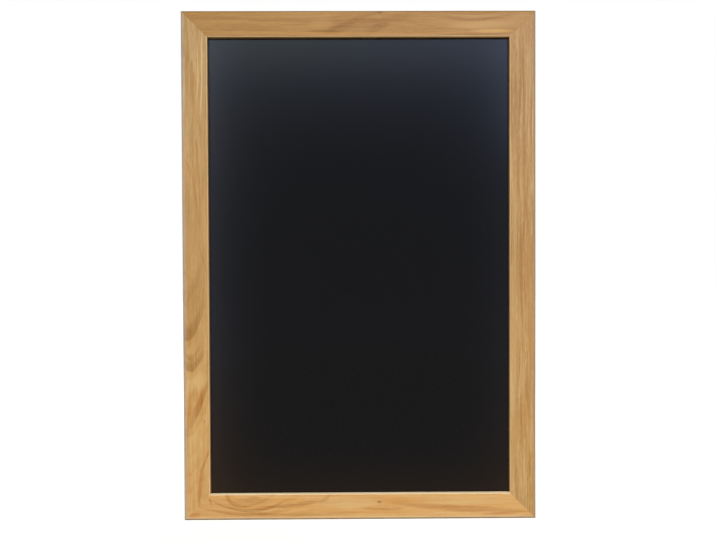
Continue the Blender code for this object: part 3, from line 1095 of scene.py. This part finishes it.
@dataclass
class RetainingPoints:
    """Flat steel points driven into the rebate wall, their rounded tails over the backing."""

    words: Words = ("_point_", "_flat_point_")
    width: float = 0.008
    tip_length: float = 0.003
    tip_width: float = 0.002
    tail_round: float = 0.003
    tail_steps: int = 8
    kick_length: float = 0.0035
    kick: float = 0.0004
    ease: float = 0.00012

    def build(self, steel: Material) -> None:
        """Model one point for each side and copy it along that side.

        Args:
            steel: the finish of the points.
        """
        for side in Side:
            nodes = sorted(node for node in frame["nodes"] if node.startswith(side.label + "_point"))
            settle_alike(self._point(side, nodes[0]), nodes, self.words, steel)

    def _point(self, side: Side, node: str) -> Piece:
        """Shape one point: pointed tip, rounded tail and a slightly lifted end.

        Args:
            side: the side it is driven into.
            node: its CAD node.

        Returns:
            The point.
        """
        low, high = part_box(node)
        out, along = side.outward, side.along
        tail, tip = sorted((low.dot(out), high.dot(out)))
        centre = (low + high) / 2
        half_step = (self.width - self.tip_width) / 2
        bend_at = tail + self.kick_length
        piece = block(node.replace(*self.words), low, high)
        with editing(piece):
            for way in (-1.0, 1.0):
                normal = (along * way * self.tip_length + out * half_step).normalized()
                shoulder = out * (tip - self.tip_length) + along * (centre.dot(along) + way * self.width / 2)
                saw(shoulder + Y_AXIS * centre.y, normal)
            at_tail = lies_at((out, tail))
            at_front = lies_at((Y_AXIS, low.y))
            at_back = lies_at((Y_AXIS, high.y))
            pick(piece, Pick.EDGES, lambda edge: at_tail(edge) and not at_front(edge) and not at_back(edge))
            round_over(self.tail_round, self.tail_steps)
            bpy.ops.mesh.select_all(action="SELECT")
            bpy.ops.mesh.bisect(plane_co=out * bend_at, plane_no=out)
            pick(piece, Pick.POINTS, lambda point: point.co.dot(out) < bend_at - NEAR)
            bpy.ops.transform.translate(value=(0.0, self.kick, 0.0))
        ease_edges(piece, self.ease)
        shade(piece)
        return piece


@dataclass
class CornerWedges:
    """The V-shaped wedges driven into the back of each mitre: their solids are right as they are."""

    def dress(self, steel: Material) -> None:
        """Give the wedges' own CAD nodes their finish.

        Args:
            steel: the finish of the wedges.
        """
        for name, node in sorted(frame["nodes"].items()):
            if "_wedge_" in name:
                for slot in node.material_slots:
                    slot.material = steel
                LOG.info("%s keeps its solid", name)


# Hangers and bumpers


@dataclass
class RingHanger:
    """A folded strap, the swinging ring in its loop and two pan-head screws."""

    label: str
    slot: str = "zinc_plated_steel"
    screw_words: Words = ("_hanger_screw_", "_pan_screw_")
    strap_width: float = 0.012
    sheet: float = 0.0009
    fold_gap: float = 0.00006
    loop_hole: float = 0.0016
    loop_turn: float = 220.0
    loop_steps: int = 30
    neck: float = 0.005
    neck_round: float = 0.004
    neck_steps: int = 6
    end_round: float = 0.0048
    end_steps: int = 8
    strap_ease: float = 0.00015
    screw_hole: float = 0.0018
    hole_depth: float = 0.0054
    hole_sides: int = 32
    wire: float = 0.0026
    wire_sides: int = 20
    ring_corner: float = 0.0024
    corner_steps: int = 8
    ring_side: float = 0.0042
    ring_bar: float = 0.0065
    top_steps: int = 36
    head: float = 0.0064
    head_height: float = 0.0021
    head_round: float = 0.0014
    head_sides: int = 40
    head_steps: int = 7
    head_ease: float = 0.0001
    head_sharp: float = 50.0
    shank: float = 0.0030
    screw_tip: float = 0.0030
    tip_share: float = 0.08
    cross_span: float = 0.0034
    cross_slot: float = 0.0009
    cross_depth: float = 0.0011
    cross_taper: float = 0.45

    @property
    def stem(self) -> str:
        """The start of the names of its CAD nodes."""
        return self.label + "_hanger_"

    @property
    def screws(self) -> list[str]:
        """The CAD nodes of its screws."""
        return [f"{self.stem}screw_{level}" for level in ("upper", "lower")]

    @property
    def joint(self) -> dict:
        """The ring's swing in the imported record."""
        return next(joint for joint in frame["joints"] if joint["name"] == self.label + "_ring_swing")

    @property
    def axis(self) -> Vector:
        """The middle of the ring's bar, on its swing axis."""
        return Vector(self.joint["pos_m"])

    def build(self, zinc: Material) -> None:
        """Build and dress the hanger.

        Args:
            zinc: the finish of all its pieces.
        """
        settle(self._strap(), self.stem + "strap", zinc)
        settle(self._ring(), self.stem + "ring", zinc, self.joint["child"])
        settle_alike(self._screw(self.screws[0]), self.screws, self.screw_words, zinc)

    def _strap(self) -> Piece:
        """Fold a strip of sheet round the ring's bar and down onto itself.

        Returns:
            The strap with its screw holes.
        """
        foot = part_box(self.stem + "strap")[0].z
        axis = self.axis
        turn_radius = self.loop_hole + self.sheet / 2
        front = axis.y - turn_radius
        place = (axis.x, front, (foot + axis.z) / 2)
        deselect()
        bpy.ops.mesh.primitive_plane_add(size=1.0, location=place, rotation=(QUARTER, 0.0, 0.0))
        bpy.context.active_object.scale = (self.strap_width, axis.z - foot, 1.0)
        piece = named(self.label + "_folded_strap")
        loop_end = math.radians(180.0 - self.loop_turn)
        end_place = Vector((0.0, math.cos(loop_end), math.sin(loop_end))) * turn_radius
        neck_place = Vector((0.0, self.sheet - turn_radius, -self.loop_hole - self.sheet - self.neck))
        turn = math.radians(self.loop_turn)
        with editing(piece):
            pick(piece, Pick.EDGES, lies_at((Z_AXIS, axis.z)))
            bpy.ops.mesh.spin(steps=self.loop_steps, angle=turn, center=axis, axis=X_AXIS)
            push(neck_place - end_place)
            push(Z_AXIS * (foot - axis.z - neck_place.z))
            pick(piece, Pick.EDGES, lies_at((Z_AXIS, axis.z + neck_place.z)))
            round_over(self.neck_round, self.neck_steps)
            pick(piece, Pick.POINTS, lambda point: abs(point.co.z - foot) < NEAR)
            round_over(self.end_round, self.end_steps, "VERTICES")
            bpy.ops.mesh.select_all(action="SELECT")
            bpy.ops.mesh.normals_make_consistent(inside=False)
        wall = self.sheet - self.fold_gap
        apply_modifier(piece, "SOLIDIFY", thickness=wall, offset=0.0, use_even_offset=True)
        holes = []
        for screw in self.screws:
            centre = sum(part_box(screw), Vector()) / 2
            centre.y = front
            hole = turned_blank(screw + "_hole", centre, self.screw_hole, self.hole_depth, self.hole_sides)
            holes.append(hole)
        carve(piece, holes)
        ease_edges(piece, self.strap_ease)
        shade(piece)
        return piece

    def _ring(self) -> Piece:
        """Bend a wire into a D: a straight bar through the strap, two sides and a round top.

        Returns:
            The ring, leaning on the stile as it rests.
        """
        axis = self.axis
        shape = {"vertices": self.wire_sides, "radius": self.wire / 2}
        deselect()
        bpy.ops.mesh.primitive_circle_add(location=axis, rotation=(0.0, QUARTER, 0.0), **shape)
        piece = named(self.label + "_wire_ring")
        bar, side = X_AXIS * self.ring_bar, Z_AXIS * self.ring_side
        shoulder = axis + Z_AXIS * self.ring_corner
        bends = (
            (bar, self.corner_steps, QUARTER, shoulder + bar),
            (side, self.top_steps, 2 * QUARTER, shoulder + side),
            (-side, self.corner_steps, QUARTER, shoulder - bar),
        )
        rise = self.ring_bar + self.ring_side + 2 * self.ring_corner
        lean = math.asin((self.loop_hole + self.sheet - self.wire / 2) / rise)
        with editing(piece):
            bpy.ops.mesh.select_all(action="SELECT")
            for straight, steps, turn, centre in bends:
                push(straight)
                bpy.ops.mesh.spin(steps=steps, angle=turn, center=centre, axis=Y_AXIS)
            push(bar)
            bpy.ops.mesh.select_all(action="SELECT")
            bpy.ops.mesh.remove_doubles(threshold=NEAR)
            bpy.ops.mesh.normals_make_consistent(inside=False)
            bpy.ops.transform.rotate(value=-lean, orient_axis="X", center_override=axis)
        bpy.ops.object.shade_smooth()
        return piece

    def _screw(self, node: str) -> Piece:
        """Turn a pan-head screw with a cross recess, a plain shank and a tapered tip.

        Args:
            node: its CAD node.

        Returns:
            The screw.
        """
        low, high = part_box(node)
        centre = (low + high) / 2
        seat = high.y - self.head_height
        blank = Vector((centre.x, seat + self.head_height / 2, centre.z))
        name = node.replace(*self.screw_words)
        piece = turned_blank(name, blank, self.head / 2, self.head_height, self.head_sides)
        tip = (centre.x, low.y, centre.z)
        with editing(piece):
            pick(piece, Pick.EDGES, lies_at((Y_AXIS, high.y)))
            round_over(self.head_round, self.head_steps)
            pick(piece, Pick.FACES, lambda face: face.normal.y < -FACING)
            bpy.ops.mesh.inset(thickness=(self.head - self.shank) / 2)
            push(Y_AXIS * (low.y + self.screw_tip - seat))
            push(-Y_AXIS * self.screw_tip)
            bpy.ops.transform.resize(value=(self.tip_share, 1.0, self.tip_share), center_override=tip)
        floor = Vector((centre.x, high.y - self.cross_depth, centre.z))
        lid = Vector((centre.x, high.y + self.cross_depth, centre.z))
        arms = []
        for long_axis, cross_axis in ((X_AXIS, Z_AXIS), (Z_AXIS, X_AXIS)):
            reach = long_axis * self.cross_span / 2 + cross_axis * self.cross_slot / 2
            arm = block("cross_arm", floor - reach, lid + reach)
            squeeze = Vector((1.0, 1.0, 1.0)) - long_axis * (1.0 - self.cross_taper)
            with editing(arm):
                pick(arm, Pick.FACES, lambda face: face.normal.y < -FACING)
                bpy.ops.transform.resize(value=squeeze, center_override=floor)
            arms.append(arm)
        carve(piece, arms)
        ease_edges(piece, self.head_ease, self.head_sharp)
        shade(piece, self.head_sharp)
        return piece


@dataclass
class WallBumpers:
    """Round rubber pads low on the stiles that keep the board off the wall."""

    words: Words = ("_wall_", "_rubber_")
    sides: int = 56
    taper: float = 0.846
    rim: float = 0.0009
    rim_steps: int = 6
    dish_rim: float = 0.0016
    dish_depth: float = 0.0004
    end_facing: float = 0.9999
    smooth_below: float = 35.0

    def build(self, rubber: Material) -> None:
        """Mould one bumper and copy it to the other side."""
        nodes = ["left_wall_bumper", "right_wall_bumper"]
        settle_alike(self._bumper(nodes[0]), nodes, self.words, rubber)

    def _bumper(self, node: str) -> Piece:
        """Shape a tapered pad with a rounded rim and a shallow dish in its end.

        Args:
            node: its CAD node.

        Returns:
            The bumper.
        """
        low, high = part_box(node)
        centre = (low + high) / 2
        end = (centre.x, high.y, centre.z)
        radius = (high.x - low.x) / 2
        piece = turned_blank(node.replace(*self.words), centre, radius, high.y - low.y, self.sides)
        with editing(piece):
            pick(piece, Pick.FACES, lambda face: face.normal.y > FACING)
            bpy.ops.transform.resize(value=(self.taper, 1.0, self.taper), center_override=end)
            pick(piece, Pick.EDGES, lies_at((Y_AXIS, high.y)))
            round_over(self.rim, self.rim_steps)
            pick(piece, Pick.FACES, lambda face: face.normal.y > self.end_facing)
            bpy.ops.mesh.inset(thickness=self.dish_rim)
            bpy.ops.mesh.inset(thickness=self.dish_depth)
            bpy.ops.transform.translate(value=(0.0, -self.dish_depth, 0.0))
        shade(piece, self.smooth_below)
        return piece


# Studio


def seen(add: Add) -> Node:
    """Tell rays that show a background from rays that light the object.

    Args:
        add: adds a node to the tree that asks.

    Returns:
        The node that is 1 for camera, glossy and transmission rays.
    """
    rays = add("LightPath").outputs
    mirror = add("Math", rays["Is Camera Ray"], rays["Is Glossy Ray"], operation="MAXIMUM")
    return add("Math", mirror, rays["Is Transmission Ray"], operation="MAXIMUM")


@dataclass(frozen=True)
class FloorPaint(Finish):
    """Matt pale paint that lifts to white for the camera, more so far away, and keeps its shadows."""

    name: str = "matt_white_floor"
    colour: str = "#F2EFE9"
    near_lift: float = 0.34
    far_lift: float = 0.95
    near_reach: float = 1.0
    far_reach: float = 4.5

    def shader(self, add: Add) -> Node:
        """Add the lift to the paint.

        Args:
            add: adds a node to the material.

        Returns:
            The shader.
        """
        matt = add("BsdfDiffuse", Color=linear(self.colour))
        coords = add("TexCoord").outputs["Object"]
        reach = add("VectorMath", coords, operation="LENGTH")
        lifts = (self.near_reach, self.far_reach, self.near_lift, self.far_lift)
        level = add("MapRange", reach, *lifts, **SMOOTH)
        lift = add("Math", level, seen(add), operation="MULTIPLY")
        glow = add("Emission", Strength=lift)
        return add("AddShader", matt, glow)


@dataclass(frozen=True)
class SoftBox:
    """A soft rectangular lamp: where it stands, what it looks at, its size, radiance and colour."""

    name: str
    place: tuple[float, float, float]
    aim: tuple[float, float, float]
    width: float
    height: float
    radiance: float
    colour: str

    def hang(self) -> None:
        """Put the lamp up, hidden from the camera."""
        turn = (Vector(self.aim) - Vector(self.place)).to_track_quat("-Z", "Y").to_euler()
        deselect()
        bpy.ops.object.light_add(type="AREA", location=self.place, rotation=turn)
        lamp = bpy.context.active_object
        lamp.name = self.name
        lamp.data.shape = "RECTANGLE"
        lamp.data.size = self.width
        lamp.data.size_y = self.height
        lamp.data.energy = self.radiance * math.pi * self.width * self.height
        lamp.data.color = linear(self.colour)[:3]
        lamp.visible_camera = False


@dataclass
class Studio:
    """A white studio: pale floor far below the hung board, soft lamps and the camera."""

    floor_z: float = -0.95
    floor_size: float = 30.0
    ambient: float = 0.24
    ambient_colour: str = "#FFF6EA"
    camera_place: tuple[float, float, float] = (-0.0103, -1.2003, 0.0116)
    camera_turn: tuple[float, float, float] = (89.138, 0.229, -0.389)
    lens_mm: float = 34.88
    sensor_mm: float = 36.0

    def build(self, lamps: tuple[SoftBox, ...]) -> None:
        """Set up floor, world, lamps and camera.

        Args:
            lamps: the soft boxes.
        """
        bpy.context.scene.view_settings.view_transform = "Standard"
        deselect()
        bpy.ops.mesh.primitive_plane_add(size=self.floor_size, location=(0.0, 0.0, self.floor_z))
        floor = named("studio_floor")
        floor.data.materials.append(FloorPaint().material())
        self._world()
        for lamp in lamps:
            lamp.hang()
        turn = tuple(math.radians(angle) for angle in self.camera_turn)
        bpy.ops.object.camera_add(location=self.camera_place, rotation=turn)
        camera = bpy.context.active_object
        camera.data.lens = self.lens_mm
        camera.data.sensor_width = self.sensor_mm
        bpy.context.scene.camera = camera

    def _world(self) -> None:
        """Surround the object with even light that shows as white."""
        world = bpy.data.worlds.new("white_studio")
        world.use_nodes = True
        world.node_tree.nodes.clear()
        add = partial(add_node, world.node_tree)
        soft = add("Background", linear(self.ambient_colour), self.ambient)
        white = add("Background", linear("#FFFFFF"), 1.0)
        add("OutputWorld", add("MixShader", seen(add), soft, white))
        bpy.context.scene.world = world


# This board's own wood and lamps


WOODS = (
    LacqueredAlder(
        name="honey_alder_top",
        side=Side.TOP,
        heart=Heart(30.0, 46.0, ring=8.0, swell_at=190.0, swell_reach=130.0, swell=14.0),
        start_colour="#9B6D28",
        end_colour="#A77A3C",
        ring_strength=0.3,
        fibre_strength=0.13,
        seed=3.1,
        marks=(
            Mark((-8, 2), (62, 8), "#784C00", 0.45, tilt=-160, soft=0.45),
            Mark((-58, -14), (34, 4.5), "#7C5008", 0.5),
            Mark((-30, -8), (34, 9), "#784C00", 0.5, tilt=14),
            Mark((14, -3), (42, 14), "#7C5412", 0.35, tilt=15),
            Mark((32, -8), (28, 8), "#784C00", 0.55, tilt=22),
            Mark((60, 8), (40, 7), "#7C5412", 0.3, tilt=10),
            Mark((-64, 1), (26, 12), "#B58648", 0.35),
            Mark((36, 17.5), (7, 2), "#68430F", 0.8),
            Mark((-70, -16.5), (210, 3), "#C08634", 0.4),
            Mark((110, -16.5), (110, 2.4), "#C08634", 0.35),
            Mark((215, -3), (75, 10), "#C49A58", 0.42),
            Mark((226, -14.5), (46, 4.5), "#CE9E50", 0.6),
            Mark((193, 6.5), (78, 2), "#845614", 0.6, bow=11, soft=2.6),
        ),
        # A paler lip, partly rubbed lacquer and partly a painted highlight, and a dark painted shade along
        # the top edge
        lip_wear_and_highlight=EdgeTone("#D8BE94", 0.5, 2.2),
        outer_sheen_and_shade=(EdgeTone("#523C24", 0.75, 4.8, 7.6),),
    ),
    LacqueredAlder(
        name="honey_alder_bottom",
        side=Side.BOTTOM,
        heart=Heart(26.0, 40.0, ring=9.6, swell_at=-185.0, swell_reach=125.0, swell=20.0),
        start_colour="#D49D57",
        end_colour="#DAA761",
        ring_strength=0.35,
        fibre_strength=0.16,
        seed=7.7,
        marks=(
            Mark((-250, 0), (60, 26), "#C08A4C", 0.4),
            Mark((-218, 5.7), (62, 2.4), "#9C5E08", 0.5, tilt=-35, bow=82, soft=3),
            Mark((-184, 10.5), (44, 8), "#B07A3A", 0.45),
            Mark((-181, 17.5), (14, 3), "#9A5E1C", 0.4),
            Mark((-255, 12), (9, 2.6), "#9C5A08", 0.6, tilt=-75),
            Mark((-190, -6.5), (76, 2.2), "#8E5200", 0.6, bow=26, soft=2.4),
            Mark((-112, 3), (72, 2.2), "#8E5200", 0.4, tilt=5, bow=4, soft=3),
            Mark((-60, 12), (16, 2.6), "#9A5E1C", 0.4, tilt=40, soft=2),
            Mark((-196, -12.5), (92, 2), "#8E5200", 0.4, bow=16, soft=3),
            Mark((-105, -13.5), (125, 2.4), "#945608", 0.28, bow=5, soft=3),
            Mark((-175, -15.5), (60, 3), "#B9772F", 0.45),
            Mark((-284, -15), (18, 5), "#B8702C", 0.6, tilt=15),
            Mark((172, -3), (140, 7), "#B06A28", 0.55, tilt=-4),
            Mark((40, -2), (50, 5.5), "#B26200", 0.5),
            Mark((32, 7.4), (5, 2.6), "#743C00", 0.95),
            Mark((285, -18), (20, 2.4), "#C87A30", 0.5),
            Mark((180, 10), (90, 6), "#D9B474", 0.4),
            Mark((238, -14), (36, 4), "#B87434", 0.5),
            Mark((-20, 6), (80, 11), "#D6B072", 0.45),
        ),
        # A near-white painted highlight over the lip's round and its upward inner side, partly rubbed
        # lacquer; along the bottom edge a pale painted highlight and then painted shade at the very edge
        lip_wear_and_highlight=EdgeTone("#FFE8B8", 1.0, 1.1, 12.0, 0.95),
        outer_sheen_and_shade=(EdgeTone("#F2D9A6", 0.55, 8.5, 7.6), EdgeTone("#4E3A1E", 0.9, 5.8, 7.6)),
    ),
    LacqueredAlder(
        name="honey_alder_left",
        side=Side.LEFT,
        heart=Heart(-24.0, 40.0, ring=9.4, fall_from=-30.0, fall_before=0.0001, fall_after=0.0004),
        start_colour="#A77F44",
        end_colour="#CE9E5C",
        ring_strength=0.3,
        fibre_strength=0.18,
        seed=1.9,
        marks=(
            Mark((-325, 12), (95, 2.4), "#D9B980", 0.6),
            Mark((-330, 5), (80, 1.8), "#D2B078", 0.4),
            Mark((-172, -16), (115, 3.2), "#BE7E38", 0.55),
            Mark((-160, -8), (34, 3), "#B06C2C", 0.45, tilt=16),
            Mark((-98, 4), (60, 2.6), "#965A00", 0.45, tilt=8),
            Mark((-12, 13.5), (34, 2.4), "#965A00", 0.45, tilt=17),
            Mark((55, 12), (44, 2.4), "#965A00", 0.4, tilt=-13),
            Mark((0, 0), (200, 30), "#A3763C", 0.5),
            Mark((121, -16), (42, 6), "#8C5612", 0.6, tilt=90, bow=97, soft=5),
            Mark((60, -20), (44, 8), "#8C5612", 0.2, tilt=90, bow=120, soft=4),
            Mark((174, -9), (28, 5), "#8C5612", 0.6, tilt=90, bow=49, soft=4),
            Mark((156, -9), (22, 4), "#8C5612", 0.4, tilt=90, bow=40, soft=2.5),
            Mark((196, 2), (24, 16), "#DAB072", 0.4, tilt=-30),
            Mark((240, -11), (44, 6), "#B46A10", 0.45),
            Mark((214, -3), (20, 5), "#A06000", 0.4),
            Mark((235, 6), (58, 4), "#9C5C14", 0.65, tilt=160, soft=2.5),
            Mark((331, 14.5), (26, 3.2), "#AE682A", 0.6, tilt=-21),
            Mark((374, 7), (44, 4.2), "#B06C30", 0.6, tilt=-5),
            Mark((366, -11), (50, 3.4), "#BE7A38", 0.45),
            Mark((262, 13.6), (3.4, 2.2), "#9A6A30", 0.5),
            Mark((310, -19.6), (1.8, 1.4), "#3A2412", 0.9),
        ),
        # A grey painted sheen on the outer round
        outer_sheen_and_shade=(EdgeTone("#ABA195", 0.68, 8.0, 6.6, 0.5),),
    ),
    LacqueredAlder(
        name="honey_alder_right",
        side=Side.RIGHT,
        heart=Heart(118.0, 34.0, ring=6.5, drift=0.01),
        start_colour="#A97F45",
        end_colour="#C19355",
        ring_strength=0.34,
        fibre_strength=0.26,
        seed=5.3,
        marks=(
            Mark((140, -17), (230, 6), "#CFA468", 0.35),
            Mark((-240, -4.6), (115, 1.8), "#8A5600", 0.62),
            Mark((-155, -8), (60, 3.4), "#8A5600", 0.5),
            Mark((-235, 13.8), (75, 1.6), "#8A5600", 0.6),
            Mark((98, -1.5), (65, 2), "#8A5600", 0.6),
            Mark((255, -3), (68, 1.8), "#8A5600", 0.58),
            Mark((166, -6.5), (36, 1.6), "#8A5600", 0.5),
            Mark((-66, 2.4), (30, 1.6), "#8A5600", 0.5),
            Mark((337, 10.4), (30, 1.6), "#8A5600", 0.5),
            Mark((60, 13.5), (150, 2), "#C07A4A", 0.45),
            Mark((152, 5.5), (10, 3.2), "#8A5600", 0.6),
            Mark((152, 5.5), (6.5, 1.8), "#CFA062", 0.6),
            # A pale painted sheen along the outer round, the whole length of the stile
            Mark((0, 20.5), (430, 2), "#B99A55", 0.35),
        ),
        # A paler lip, partly rubbed lacquer and partly a painted highlight, and a grey painted sheen on the
        # outer round
        lip_wear_and_highlight=EdgeTone("#D8BC8C", 0.45, 2.2),
        outer_sheen_and_shade=(EdgeTone("#958A78", 0.5, 6.5, 6.6, 0.4),),
    ),
)

LAMPS = (
    SoftBox("left_strip", (-0.9, -2.5, 1.32), (-0.9, 0.0, 0.15), 1.8, 0.5, 8.6, "#DDEFFA"),
    SoftBox("right_strip", (0.9, -2.5, 1.32), (0.9, 0.0, 0.15), 1.8, 0.5, 9.6, "#CFDCFF"),
    SoftBox("low_strip", (0.0, -2.5, 0.9), (0.0, 0.0, 0.15), 3.0, 0.32, 1.1, "#8CB4FF"),
    SoftBox("left_window", (-1.2, -2.5, 0.9), (0.0, 0.0, 0.1), 0.7, 0.9, 6.4, "#DCE9F6"),
    SoftBox("right_window", (1.2, -2.5, 1.0), (0.0, 0.0, 0.1), 0.7, 0.7, 11.0, "#A8C8FF"),
    SoftBox("overhead_box", (0.0, -0.9, 2.3), (0.0, -0.1, 0.0), 1.8, 1.0, 3.5, "#FFE8CC"),
    SoftBox("left_fill", (-2.3, -2.4, 0.4), (0.0, 0.0, 0.0), 2.2, 2.4, 0.35, "#FFECD2"),
    SoftBox("right_fill", (2.3, -2.4, 0.4), (0.0, 0.0, 0.0), 2.2, 2.4, 0.4, "#FFF0DC"),
    SoftBox("back_fill", (0.4, 3.0, 1.8), (0.0, 0.0, 0.0), 3.0, 2.0, 3.6, "#F6FAFF"),
)


def main() -> None:
    """Build the board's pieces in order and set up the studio."""
    logging.basicConfig(level=logging.INFO, format="%(message)s")
    galvanised = GALVANISED.material()
    zinc = ZINC_PLATE.material()
    MitredFrame().build(WOODS)
    PanelPack().build(ChalkCoat(), PressedHardboard())
    RetainingPoints().build(galvanised)
    CornerWedges().dress(galvanised)
    for label in ("left", "right"):
        RingHanger(label).build(zinc)
    WallBumpers().build(MouldedRubber().material())
    Studio().build(LAMPS)


if __name__ == "__main__":
    main()
